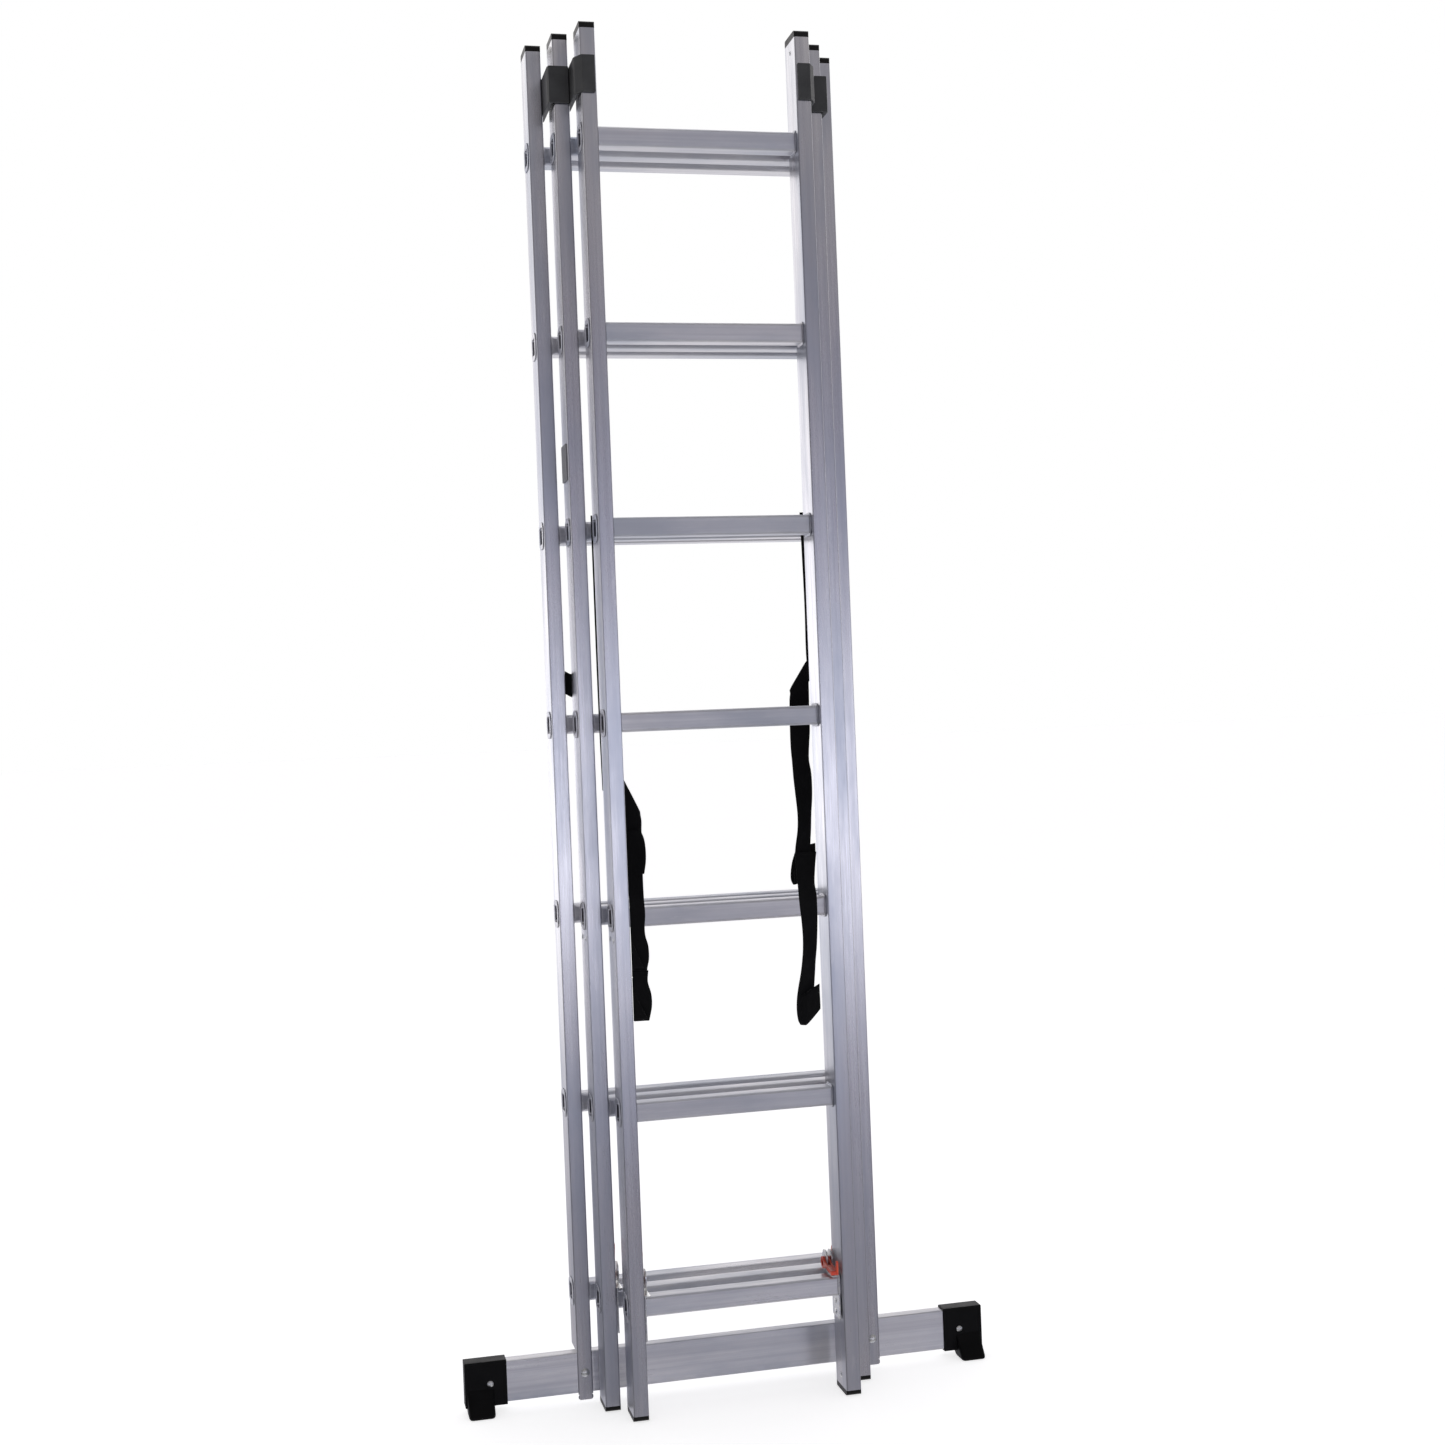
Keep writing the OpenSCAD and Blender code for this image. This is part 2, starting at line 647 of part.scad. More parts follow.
stile(BACK, LEFT);  // back_stile_left
stile(BACK, RIGHT);  // back_stile_right
stile(MIDDLE, LEFT);  // middle_stile_left
stile(MIDDLE, RIGHT);  // middle_stile_right
stile(FRONT, LEFT);  // front_stile_left
stile(FRONT, RIGHT);  // front_stile_right
for (i = [1:rung_count]) rung(BACK, i);
for (i = [1:rung_count]) rung(MIDDLE, i);
for (i = [1:rung_count]) rung(FRONT, i);
top_caps(BACK);  // back_top_caps
top_caps(MIDDLE);  // middle_top_caps
top_caps(FRONT);  // front_top_caps
feet(MIDDLE);  // middle_feet
feet(FRONT);  // front_feet
section_rivets(BACK);  // back_rivets
section_rivets(MIDDLE);  // middle_rivets
section_rivets(FRONT);  // front_rivets
stabiliser_bar();
bar_bolts();
boot(LEFT);  // boot_left
boot(RIGHT);  // boot_right
boot_screws();
back_guide(LEFT);  // back_guide_left
back_guide(RIGHT);  // back_guide_right
swivel_guide(LEFT);  // swivel_guide_left
swivel_guide(RIGHT);  // swivel_guide_right
swivel_bolts();
middle_guide_pads();
hook_bracket(MIDDLE, LEFT);  // middle_hook_left
hook_bracket(MIDDLE, RIGHT);  // middle_hook_right
hook_bracket(FRONT, LEFT);  // front_hook_left
hook_bracket(FRONT, RIGHT);  // front_hook_right
hook_pins(MIDDLE);  // middle_hook_pins
hook_pins(FRONT);  // front_hook_pins
lever(MIDDLE, LEFT);  // middle_lever_left
lever(MIDDLE, RIGHT);  // middle_lever_right
lever(FRONT, LEFT);  // front_lever_left
lever(FRONT, RIGHT);  // front_lever_right
strap(LEFT);  // strap_left
strap(RIGHT);  // strap_right
strap_end(LEFT);  // strap_end_left
strap_end(RIGHT);  // strap_end_right
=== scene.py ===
"""Looks of a nested extension ladder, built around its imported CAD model."""

import json
import math

import bmesh
import bpy
from mathutils import Matrix, Vector


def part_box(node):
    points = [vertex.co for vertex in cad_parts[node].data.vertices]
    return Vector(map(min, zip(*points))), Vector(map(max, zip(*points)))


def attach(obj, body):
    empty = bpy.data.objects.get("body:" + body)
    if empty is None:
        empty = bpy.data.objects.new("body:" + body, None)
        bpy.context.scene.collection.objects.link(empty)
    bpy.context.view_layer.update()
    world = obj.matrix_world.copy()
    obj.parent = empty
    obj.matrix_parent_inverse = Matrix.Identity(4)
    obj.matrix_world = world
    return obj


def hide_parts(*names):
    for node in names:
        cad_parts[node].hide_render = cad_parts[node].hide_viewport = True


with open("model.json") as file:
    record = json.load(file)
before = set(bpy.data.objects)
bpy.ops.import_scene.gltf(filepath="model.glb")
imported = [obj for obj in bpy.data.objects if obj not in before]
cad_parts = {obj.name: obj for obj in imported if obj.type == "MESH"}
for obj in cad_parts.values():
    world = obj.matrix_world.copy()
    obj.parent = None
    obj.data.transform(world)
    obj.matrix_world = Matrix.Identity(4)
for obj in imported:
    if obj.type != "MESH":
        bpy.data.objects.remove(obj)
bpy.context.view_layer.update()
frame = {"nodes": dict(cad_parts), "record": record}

# ---------------------------------------------------------------- places

LEFT, RIGHT = -1, 1
SIDES = {"left": LEFT, "right": RIGHT}
MM = 1000                           # outlines and the webbing's paths are in millimetres


def corners(node):
    """Lowest and highest corner of a CAD node, as vectors."""
    low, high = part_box(node)
    return Vector(low), Vector(high)


# ---------------------------------------------------------------- node helpers

class Nodes:
    """A new material, with short ways to add and link its shader nodes."""

    def __init__(self, name):
        self.material = bpy.data.materials.new(name)
        self.material.use_nodes = True
        self.tree = self.material.node_tree
        self.shader = self.tree.nodes["Principled BSDF"]

    def add(self, kind, **values):
        node = self.tree.nodes.new(kind)
        for key, value in values.items():
            setattr(node, key, value)
        return node

    def link(self, source, target):
        self.tree.links.new(source, target)

    def set(self, **values):
        """Sets sockets of the shader by name, underscores for spaces."""
        for key, value in values.items():
            self.shader.inputs[key.replace("_", " ")].default_value = value

    def coordinates(self, scale):
        place = self.add("ShaderNodeTexCoord")
        mapping = self.add("ShaderNodeMapping")
        mapping.inputs["Scale"].default_value = scale
        self.link(place.outputs["Object"], mapping.inputs["Vector"])
        return mapping.outputs["Vector"]

    def noise(self, scale, stretch=(1, 1, 1), detail=4, rough=0.55):
        node = self.add("ShaderNodeTexNoise")
        node.inputs["Scale"].default_value = scale
        node.inputs["Detail"].default_value = detail
        node.inputs["Roughness"].default_value = rough
        self.link(self.coordinates(stretch), node.inputs["Vector"])
        return node.outputs["Fac"]

    def wave(self, scale, direction, distortion):
        node = self.add("ShaderNodeTexWave", wave_type="BANDS", bands_direction=direction)
        node.inputs["Scale"].default_value = scale
        node.inputs["Distortion"].default_value = distortion
        self.link(self.coordinates((1, 1, 1)), node.inputs["Vector"])
        return node.outputs["Fac"]

    def span(self, value, low, high, start=0.0, end=1.0):
        """Maps value from (start, end) to (low, high)."""
        node = self.add("ShaderNodeMapRange")
        node.inputs["From Min"].default_value = start
        node.inputs["From Max"].default_value = end
        node.inputs["To Min"].default_value = low
        node.inputs["To Max"].default_value = high
        self.link(value, node.inputs["Value"])
        return node.outputs["Result"]

    def math(self, kind, a, b):
        node = self.add("ShaderNodeMath", operation=kind)
        for socket, value in zip(node.inputs, (a, b)):
            if isinstance(value, (int, float)):
                socket.default_value = value
            else:
                self.link(value, socket)
        return node.outputs[0]

    def mix(self, amount, first, second):
        """Mixes two colours."""
        node = self.add("ShaderNodeMix", data_type="RGBA")
        self.link(amount, node.inputs["Factor"])
        for socket, value in ((node.inputs["A"], first), (node.inputs["B"], second)):
            if isinstance(value, tuple):
                socket.default_value = (*value, 1.0)
            else:
                self.link(value, socket)
        return node.outputs["Result"]

    def bump(self, height, strength, distance):
        node = self.add("ShaderNodeBump")
        node.inputs["Strength"].default_value = strength
        node.inputs["Distance"].default_value = distance
        self.link(height, node.inputs["Height"])
        return node.outputs["Normal"]

    def finish(self, colour, rough, normal=None):
        for socket, value in (("Base Color", colour), ("Roughness", rough), ("Normal", normal)):
            if value is not None:
                self.link(value, self.shader.inputs[socket])
        return self.material


# ---------------------------------------------------------------- materials

def aluminium(name, along, spread, low, high):
    """Mill-finish extrusion: die lines along the profile spread its reflections across it."""
    n = Nodes(name)
    streak = tuple(0.012 if axis == along else 1.0 for axis in "xyz")
    smear = tuple(0.12 if axis == along else 1.0 for axis in "xyz")
    fine = n.noise(1500, streak, detail=3)
    broad = n.noise(160, streak, detail=4)
    cloud = n.noise(9, smear, detail=5, rough=0.6)
    patch = n.noise(5, tuple(0.55 if axis == along else 2.5 for axis in "xyz"), detail=6, rough=0.62)
    scuff = n.span(n.noise(60, smear, detail=8, rough=0.72), 0.0, 1.0, 0.60, 0.74)
    tone = n.mix(n.span(broad, 0, 1, 0.3, 0.7), (0.60, 0.595, 0.63), (0.82, 0.815, 0.83))
    tone = n.mix(n.span(cloud, 0, 0.5, 0.35, 0.7), tone, (0.58, 0.57, 0.59))
    tone = n.mix(n.span(patch, 0, 0.75, 0.42, 0.64), tone, (0.50, 0.53, 0.60))
    tone = n.mix(n.math("MULTIPLY", scuff, 0.6), tone, (0.86, 0.855, 0.86))
    rough = n.math("ADD", n.span(fine, low, high, 0.3, 0.7), n.span(cloud, 0.0, 0.06, 0.3, 0.7))
    rough = n.math("ADD", rough, n.math("MULTIPLY", scuff, 0.06))
    rough = n.math("ADD", rough, n.span(patch, -0.03, 0.05, 0.4, 0.65))
    normal = n.bump(fine, 0.06, 0.0001)
    n.set(Metallic=1.0, Anisotropic=spread)
    across = n.add("ShaderNodeVectorMath", operation="CROSS_PRODUCT")
    n.link(n.add("ShaderNodeNewGeometry").outputs["Normal"], across.inputs[0])
    across.inputs[1].default_value = tuple(float(axis == along) for axis in "xyz")
    tilted = n.add("ShaderNodeVectorMath", operation="ADD")       # an end face needs a direction too
    n.link(across.outputs[0], tilted.inputs[0])
    tilted.inputs[1].default_value = (0.02, 0.02, 0.02)
    n.link(tilted.outputs[0], n.shader.inputs["Tangent"])
    return n.finish(tone, rough, normal)


def moulded(name, dark, light, rough, grain=2600, depth=0.00008, shine=0.25):
    """Moulded plastic or rubber: fine spark-eroded grain, faint blotches, dust on it."""
    n = Nodes(name)
    speck = n.noise(grain, detail=2)
    blotch = n.noise(38, detail=5)
    tone = n.mix(n.span(blotch, 0, 1, 0.35, 0.7), dark, light)
    gloss = n.math("ADD", n.span(speck, rough - 0.05, rough + 0.05, 0.3, 0.7),
                   n.span(blotch, -0.04, 0.06, 0.3, 0.7))
    normal = n.bump(speck, 0.35, depth)
    n.set(Metallic=0.0, Specular_IOR_Level=shine)
    return n.finish(tone, gloss, normal)


def zinc(name):
    """Bright zinc plate: cloudy, slightly blue and yellow, with fine grain."""
    n = Nodes(name)
    cloud = n.noise(120, detail=5)
    grain = n.noise(2400, detail=2)
    tone = n.mix(n.span(cloud, 0, 1, 0.35, 0.7), (0.62, 0.64, 0.67), (0.80, 0.79, 0.74))
    rough = n.math("ADD", n.span(cloud, 0.18, 0.34, 0.3, 0.7), n.span(grain, 0.0, 0.06, 0.3, 0.7))
    n.set(Metallic=1.0)
    return n.finish(tone, rough, n.bump(grain, 0.15, 0.0001))


def webbing_cloth(name):
    """Flat woven webbing: weft ribs across it, twill warp along it, a dull sheen."""
    n = Nodes(name)
    weft = n.wave(330, "Z", distortion=0.4)
    warp = n.wave(420, "X", distortion=0.6)
    fuzz = n.noise(1800, detail=3)
    weave = n.math("MULTIPLY", n.math("ADD", weft, warp), n.span(fuzz, 0.6, 1.2, 0.3, 0.7))
    worn = n.noise(26, detail=4)
    tone = n.mix(n.span(weave, 0, 1, 0.2, 1.9), (0.0012, 0.0012, 0.0014), (0.006, 0.006, 0.007))
    tone = n.mix(n.span(worn, 0, 0.35, 0.45, 0.75), tone, (0.008, 0.008, 0.009))
    n.set(Metallic=0.0, Specular_IOR_Level=0.1, Sheen_Weight=0.03, Sheen_Roughness=0.5)
    return n.finish(tone, n.span(fuzz, 0.72, 0.88, 0.3, 0.7), n.bump(weave, 0.5, 0.0003))


def red_plastic(name):
    """Moulded red plastic, slightly glossy, with faint blotches."""
    n = Nodes(name)
    speck = n.noise(1400, detail=3)
    blotch = n.noise(90, detail=4)
    tone = n.mix(n.span(blotch, 0, 1, 0.35, 0.7), (0.60, 0.045, 0.018), (0.72, 0.085, 0.03))
    n.set(Metallic=0.0, Coat_Weight=0.15)
    return n.finish(tone, n.span(speck, 0.26, 0.38, 0.3, 0.7), n.bump(speck, 0.12, 0.0001))


def plain_floor(name):
    """Pale floor that glows a little, so that it's as white as the studio behind it."""
    n = Nodes(name)
    cloud = n.noise(1.3, detail=3)
    tone = n.mix(n.span(cloud, 0, 1, 0.3, 0.7), (0.80, 0.80, 0.80), (0.82, 0.82, 0.82))
    n.set(Specular_IOR_Level=0.0, Emission_Color=(1, 1, 1, 1), Emission_Strength=0.69)
    return n.finish(tone, n.span(cloud, 0.8, 0.9, 0.3, 0.7))


UPRIGHT = aluminium("aluminium_upright", "z", spread=0.75, low=0.22, high=0.30)
ACROSS = aluminium("aluminium_across", "x", spread=0.92, low=0.27, high=0.35)
CAP = moulded("cap_plastic", (0.004, 0.0038, 0.0035), (0.008, 0.0075, 0.007), 0.42, shine=0.2)
RUBBER = moulded("boot_rubber", (0.0012, 0.0012, 0.0014), (0.0030, 0.0030, 0.0034), 0.46,
                 grain=1500, depth=0.00015, shine=0.12)
NYLON = moulded("guide_nylon", (0.030, 0.031, 0.032), (0.046, 0.047, 0.048), 0.46, shine=0.32)
PAD = moulded("pad_plastic", (0.16, 0.16, 0.17), (0.22, 0.22, 0.23), 0.5)
ZINC = zinc("zinc_plate")
RED = red_plastic("red_plastic")
WEB = webbing_cloth("webbing_cloth")
FLOOR = plain_floor("pale_floor")


def cad_material(node):
    """The material of a CAD node, by its name."""
    if "stile" in node:
        return UPRIGHT
    if "rung" in node or node == "stabiliser_bar":
        return ACROSS
    if "caps" in node or "feet" in node:
        return CAP
    if "boot_screws" in node:
        return ZINC
    if "boot" in node:
        return RUBBER
    if "pads" in node:
        return PAD
    if "guide" in node:
        return NYLON
    if "lever" in node:
        return RED
    if "strap" in node:
        return WEB
    return ZINC


def round_edges(piece, width, segments=3):
    """Breaks the sharp edges of a CAD node with modifiers; its own mesh isn't touched."""
    weld = piece.modifiers.new("weld", "WELD")
    weld.merge_threshold = 0.00001
    bevel = piece.modifiers.new("bevel", "BEVEL")
    bevel.width = width
    bevel.segments = segments
    bevel.limit_method = "ANGLE"
    bevel.angle_limit = math.radians(38)
    bevel.use_clamp_overlap = True
    bevel.harden_normals = False


EDGE_WIDTHS = (                     # (part of a CAD node's name, width of its softened edges)
    ("guide_pads", 0.0004), ("guide", 0.0012), ("caps", 0.0006), ("feet", 0.0006), ("hook_", 0.0004),
    ("lever", 0.0012), ("rung", 0.0011), ("boot_", 0.0), ("strap", 0.0))

for _node, _piece in frame["nodes"].items():
    _piece.data.materials.clear()
    _piece.data.materials.append(cad_material(_node))


# ---------------------------------------------------------------- webbing

WEB_T = 0.0018                      # one layer of webbing
RIPPLE = 0.00035                    # its unevenness
STRAP_BACK = corners("front_stile_right")[1].y       # rear face of the front stiles
LAYER_NEAR = STRAP_BACK + 0.0011    # webbing lying on that face
LAYER_FAR = STRAP_BACK + 0.0034     # a second layer behind it


def curve_through(points, steps):
    """Catmull-Rom curve through the points, with steps spans between each two."""
    ends = [2 * points[0] - points[1], *points, 2 * points[-1] - points[-2]]
    out = []
    for i in range(1, len(ends) - 2):
        a, b, c, d = ends[i - 1:i + 3]
        for step in range(steps):
            t = step / steps
            out.append(0.5 * (2 * b + (c - a) * t + (2 * a - 5 * b + 4 * c - d) * t ** 2
                              + (3 * b - a - 3 * c + d) * t ** 3))
    out.append(points[-1].copy())
    return out


def ribbon(bm, rows, side, steps=5, thickness=WEB_T, camber=0.0006, across=10):
    """Webbing through rows of (inner x, y, z, outer x, y, z) in millimetres, thinner at its selvedges."""
    first = [Vector((row[0] * side, row[1], row[2])) / MM for row in rows]
    second = [Vector((row[3] * side, row[4], row[5])) / MM for row in rows]
    first, second = curve_through(first, steps), curve_through(second, steps)
    grid = [[a.lerp(b, i / across) for i in range(across + 1)] for a, b in zip(first, second)]
    last = len(grid) - 1
    layers = ([], [])
    for j, row in enumerate(grid):
        for i, point in enumerate(row):
            along = grid[min(j + 1, last)][i] - grid[max(j - 1, 0)][i]
            wide = row[min(i + 1, across)] - row[max(i - 1, 0)]
            normal = along.cross(wide).normalized()
            s = 2 * i / across - 1
            half = thickness / 2 * math.sqrt(max(1 - 0.8 * s ** 8, 0.05))
            ripple = RIPPLE * math.sin(0.9 * j + 2.3 * s) * (1 - s * s)
            middle = point + normal * (camber * (1 - s * s) + ripple)
            for layer, sign in zip(layers, (1, -1)):
                layer.append(bm.verts.new(middle + normal * half * sign))
    wide = across + 1
    for j in range(last):
        for i in range(across):
            a, b, c, d = j * wide + i, j * wide + i + 1, (j + 1) * wide + i + 1, (j + 1) * wide + i
            bm.faces.new([layers[0][k] for k in (a, b, c, d)])
            bm.faces.new([layers[1][k] for k in (d, c, b, a)])
        for edge, turn in ((0, 1), (across, -1)):
            ring = [layers[0][j * wide + edge], layers[0][(j + 1) * wide + edge],
                    layers[1][(j + 1) * wide + edge], layers[1][j * wide + edge]]
            bm.faces.new(ring[::turn])
    for j, turn in ((0, -1), (last, 1)):
        for i in range(across):
            ring = [layers[0][j * wide + i], layers[0][j * wide + i + 1],
                    layers[1][j * wide + i + 1], layers[1][j * wide + i]]
            bm.faces.new(ring[::turn])


def stitches(bm, start, end, side, pitch=3.2, length=2.1, width=0.34):
    """A row of raised stitches between two points in millimetres."""
    a, b = (Vector((p[0] * side, p[1], p[2])) / MM for p in (start, end))
    along = (b - a).normalized()
    out = Vector((0, -1, 0))
    up = along.cross(out).normalized()
    for k in range(int((b - a).length * MM / pitch)):
        centre = a + along * (k + 0.5) * pitch / MM
        rings = []
        for t in (-1, -0.6, 0.6, 1):
            reach = 1.0 if abs(t) < 1 else 0.35
            place = centre + along * t * length / 2 / MM
            rings.append([bm.verts.new(place + (up * math.cos(w) + out * math.sin(w)) * width * reach / MM)
                          for w in (math.tau * q / 6 for q in range(6))])
        for ring, following in zip(rings, rings[1:]):
            for q in range(6):
                bm.faces.new((ring[q], ring[(q + 1) % 6], following[(q + 1) % 6], following[q]))
        bm.faces.new(rings[0][::-1])
        bm.faces.new(rings[-1])


def mesh_object(name, bm, material, smooth=True):
    bmesh.ops.recalc_face_normals(bm, faces=bm.faces)
    mesh = bpy.data.meshes.new(name)
    bm.to_mesh(mesh)
    bm.free()
    for polygon in mesh.polygons:
        polygon.use_smooth = smooth
    piece = bpy.data.objects.new(name, mesh)
    bpy.context.collection.objects.link(piece)
    mesh.materials.append(material)
    return piece


near, far = MM * LAYER_NEAR, MM * LAYER_FAR
strap_corner = MM * corners("strap_right")[1]
strip_in, strip_out, strip_top = strap_corner.x - 27.2, strap_corner.x - 0.6, strap_corner.z

# Each strap: a strip down behind its stile, the part that hangs out over a rung, a fold in it, and the
# lower part with its turned-up end. Each row is one edge of the webbing, then the other.

RIGHT_RIBBONS = {
    "strip": [(strip_in, far + 2.2, strip_top, strip_out, far + 2.2, strip_top),
              (strip_in + 1, far + 2.2, 1240, strip_out, far + 2.2, 1240),
              (strip_in + 2, far + 2.2, 1160, strip_out, far + 2.2, 1160),
              (strip_in + 1.5, far + 2.2, 1090, strip_out, far + 2.2, 1090),
              (strip_in + 4, far + 2.2, 1052, strip_out, far + 2.2, 1052)],
    "hang": [(147, far, 1046.5, 170, far, 1086),
             (130, far, 1040, 158, far, 1084),
             (118.6, far, 1035.4, 148, far, 1080.6),
             (117.4, (near + far) / 2, 1034.2, 147, (near + far) / 2, 1079.6),
             (117.3, near, 1030, 146.8, near, 1074),
             (116.2, near, 1022, 146.5, near, 1034),
             (115.4, near, 1000, 145.9, near, 1004),
             (114.8, -23.4, 975, 145.6, near, 976),
             (114.5, -25, 950, 143.4, near, 951),
             (115, -28, 928, 142.4, -22.8, 931),
             (116.2, -28, 903, 145.2, -23, 910),
             (117.3, -31, 880, 144.9, -24, 880),
             (118, -36, 852, 142, -25.5, 852),
             (114.6, -45, 829, 138.8, -32, 830),
             (109, -51, 806, 135.2, -38, 808),
             (106.5, -54, 790, 133.5, -42, 790)],
    "loop": [(109, -50, 800, 134, -38.5, 800),
             (103, -48.5, 781, 130, -38.5, 781),
             (100, -50, 760, 127, -41, 762),
             (102.5, -55, 750.5, 126, -47, 753),
             (102.5, -60, 757, 127, -52, 758),
             (103, -60, 772, 130, -51, 772)],
    "lower": [(107, -57.5, 797.5, 141.8, -45, 796),
              (105.6, -60.5, 784, 139.2, -48.5, 784),
              (104.9, -64.5, 769, 135.8, -55, 770),
              (104.9, -69.5, 752, 131.8, -65, 752),
              (105.2, -71.5, 736, 133, -68.6, 736),
              (106, -72.2, 720, 133.4, -68.4, 720),
              (107.6, -72.8, 700, 133.2, -68, 700),
              (108.6, -73, 678, 132.2, -67.4, 678),
              (108.1, -73, 657, 130.8, -66, 657),
              (106.2, -72.4, 638, 128.8, -64.5, 638),
              (103.4, -71.6, 620, 127.4, -64, 621),
              (99.6, -70.8, 602, 125.6, -64, 603),
              (96.8, -70.4, 585, 124, -64.5, 584),
              (96, -70, 569, 120, -66, 562),
              (97.6, -69.4, 554, 112, -67.5, 549),
              (101, -69, 546.5, 106, -68.5, 545.5)],
    "flap": [(101.5, -69.8, 590, 100.5, -69.6, 551),
             (106, -72.6, 592, 103.2, -72.4, 547.5),
             (109.5, -74.6, 593, 108, -74.4, 546.5),
             (115, -74, 596.5, 114.5, -74, 551.5),
             (125, -71, 601.5, 125, -71, 561),
             (132.4, -67.5, 604.6, 132.4, -67.5, 567.5)],
    "tab": [(124, -39.6, 806, 124, -39.6, 794),
            (133, -39.2, 807, 133, -39.2, 794.5),
            (141.9, -41.5, 808.8, 141.9, -41.5, 795)],
}
RIGHT_STITCHES = [((109, -60.4, 794), (138.6, -49.6, 793)), ((108.6, -61.4, 788), (136.4, -51.4, 787)),
                  ((111, -75.6, 589), (111, -75.6, 553))]

LEFT_RIBBONS = {
    "strip": [(strip_in + 1, far + 2.2, strip_top, strip_out, far + 2.2, strip_top),
              (strip_in + 1, far + 2.2, 1200, strip_out, far + 2.2, 1200),
              (strip_in + 1, far + 2.2, 1080, strip_out, far + 2.2, 1080),
              (strip_in + 2, far + 2.2, 980, strip_out - 0.5, far + 2.2, 980),
              (strip_in + 4, far + 2.2, 900, strip_out - 1.5, far + 2.2, 900)],
    "hang": [(147, far, 878, 170, far, 942),
             (130, far, 871, 158, far, 937),
             (116.8, far, 866.8, 148.5, far, 935),
             (115.5, (near + far) / 2, 865.6, 147.6, (near + far) / 2, 934),
             (115.3, near, 861, 147, near, 924),
             (114.7, -25, 853, 146.4, -23.6, 876),
             (116.3, -31, 838, 146, -28, 842),
             (117, -36, 824, 145.8, -34, 826),
             (118.6, -43.5, 800, 145.6, -42, 801),
             (121, -53, 778, 145.6, -51.5, 779),
             (123.2, -65, 756, 145.6, -63.5, 757),
             (123.9, -70.5, 742, 145.4, -69, 743),
             (123.3, -72, 722, 145.2, -69.4, 722),
             (124.9, -72.5, 704, 145.2, -69, 704),
             (124.2, -73, 691, 145.2, -69, 691),
             (120.9, -74, 677, 145.2, -69.2, 677),
             (120.5, -74, 660, 145.2, -69.2, 660),
             (123.2, -71.8, 645, 145.2, -68.6, 645),
             (124.5, -70.4, 634, 145.2, -67.4, 634)],
    "loop": [(119, -35.5, 842, 140, -31, 842),
             (114.2, -38, 828, 138, -33, 828),
             (113.2, -42, 812, 137, -37, 812),
             (114.6, -47, 796, 138, -42, 796),
             (119, -54.5, 779, 141, -50.5, 779)],
    "lower": [(122.3, -73.8, 642.5, 145, -70.8, 643.4),
              (123.6, -73.6, 626, 145, -70.4, 626),
              (119.5, -74.4, 609, 145, -70.2, 609),
              (119, -74.4, 592, 145.4, -70.2, 592),
              (122.4, -73.2, 575, 145.6, -70, 575),
              (123.6, -71.4, 570.4, 145.4, -68.6, 570.6),
              (123.4, -69.6, 575, 145.2, -67.2, 575),
              (122, -69, 600, 145, -66.8, 600),
              (123.6, -69, 632, 145, -66.8, 632)],
    "crease": [(142.5, -73.6, 681, 144.8, -71.6, 684),
               (136, -75.2, 664, 145, -72.8, 666),
               (129, -76, 646, 145.2, -73.4, 646)],
    "turn": [(142.5, -74.4, 609, 144.8, -72.8, 612),
             (134, -76, 590, 145, -73.8, 592),
             (126, -76, 573, 145.2, -73.6, 573)],
}
LEFT_STITCHES = [((125, -74.9, 639.6), (144, -72.1, 640.2)), ((125, -75, 633.6), (144, -72, 634.2))]

END_DROP, END_TALL = 14, 34         # a sewn end's slant, and its height at the rivet
END_STITCHES = (6, 10)              # rows of stitches, from the rivet's side


def sewn_end(out, top, y):
    """Rows of webbing from the rivet towards the ladder's middle and back on themselves."""
    rows = []
    for inward, behind, fall in ((0, 1.2, 0), (10, 1.2, 0.4), (26, 1, 0.9), (30, 0, 1), (26, -1.1, 0.9),
                                 (8, -1.1, 0.3)):
        x, high = out - inward, top - END_DROP * fall
        rows.append((x, y + behind, high, x, y + behind, high - END_TALL))
    return rows


def make_strap(name, ribbons, rows_of_stitches, side):
    """A strap of folded webbing, hung behind the front section's stile."""
    bm = bmesh.new()
    for rows in ribbons.values():
        ribbon(bm, rows, side)
    for start, end in rows_of_stitches:
        stitches(bm, start, end, side)
    piece = mesh_object(f"{name}_webbing", bm, WEB)
    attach(piece, "front_section")
    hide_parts(name)
    piece.visible_glossy = False


def make_strap_end(side_name):
    """The strap's sewn end, folded double at its rivet on the base stile."""
    node, side = f"strap_end_{side_name}", SIDES[side_name]
    low, high = corners("strap_end_right")
    out, y, top = MM * high.x - 0.4, MM * (low.y + high.y) / 2, MM * high.z
    bm = bmesh.new()
    ribbon(bm, sewn_end(out, top - 1, y), side, camber=0)
    for inset in END_STITCHES:
        stitches(bm, (out - inset, y - 2.2, top - 8), (out - inset, y - 2.2, top - 33), side)
    piece = mesh_object(f"{node}_webbing", bm, WEB)
    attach(piece, "back_section")
    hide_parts(node)


make_strap("strap_right", RIGHT_RIBBONS, RIGHT_STITCHES, RIGHT)
make_strap("strap_left", LEFT_RIBBONS, LEFT_STITCHES, LEFT)
for _side_name in SIDES:
    make_strap_end(_side_name)


# ---------------------------------------------------------------- rubber boots

BOOT_VOXEL = 0.0009                 # grain of the solids' merging, in metres; the rest is in millimetres
BOOT_WALL = 2.6
BOOT_RIM, RIM_RISE = 4.2, 0.7       # rim round the front face
BOSS_R, BOSS_T, BOSS_INSET = 7.2, 1.6, 4.6
TOE_INSETS = 20, 3                  # toe, from the sleeve's inner and outer ends


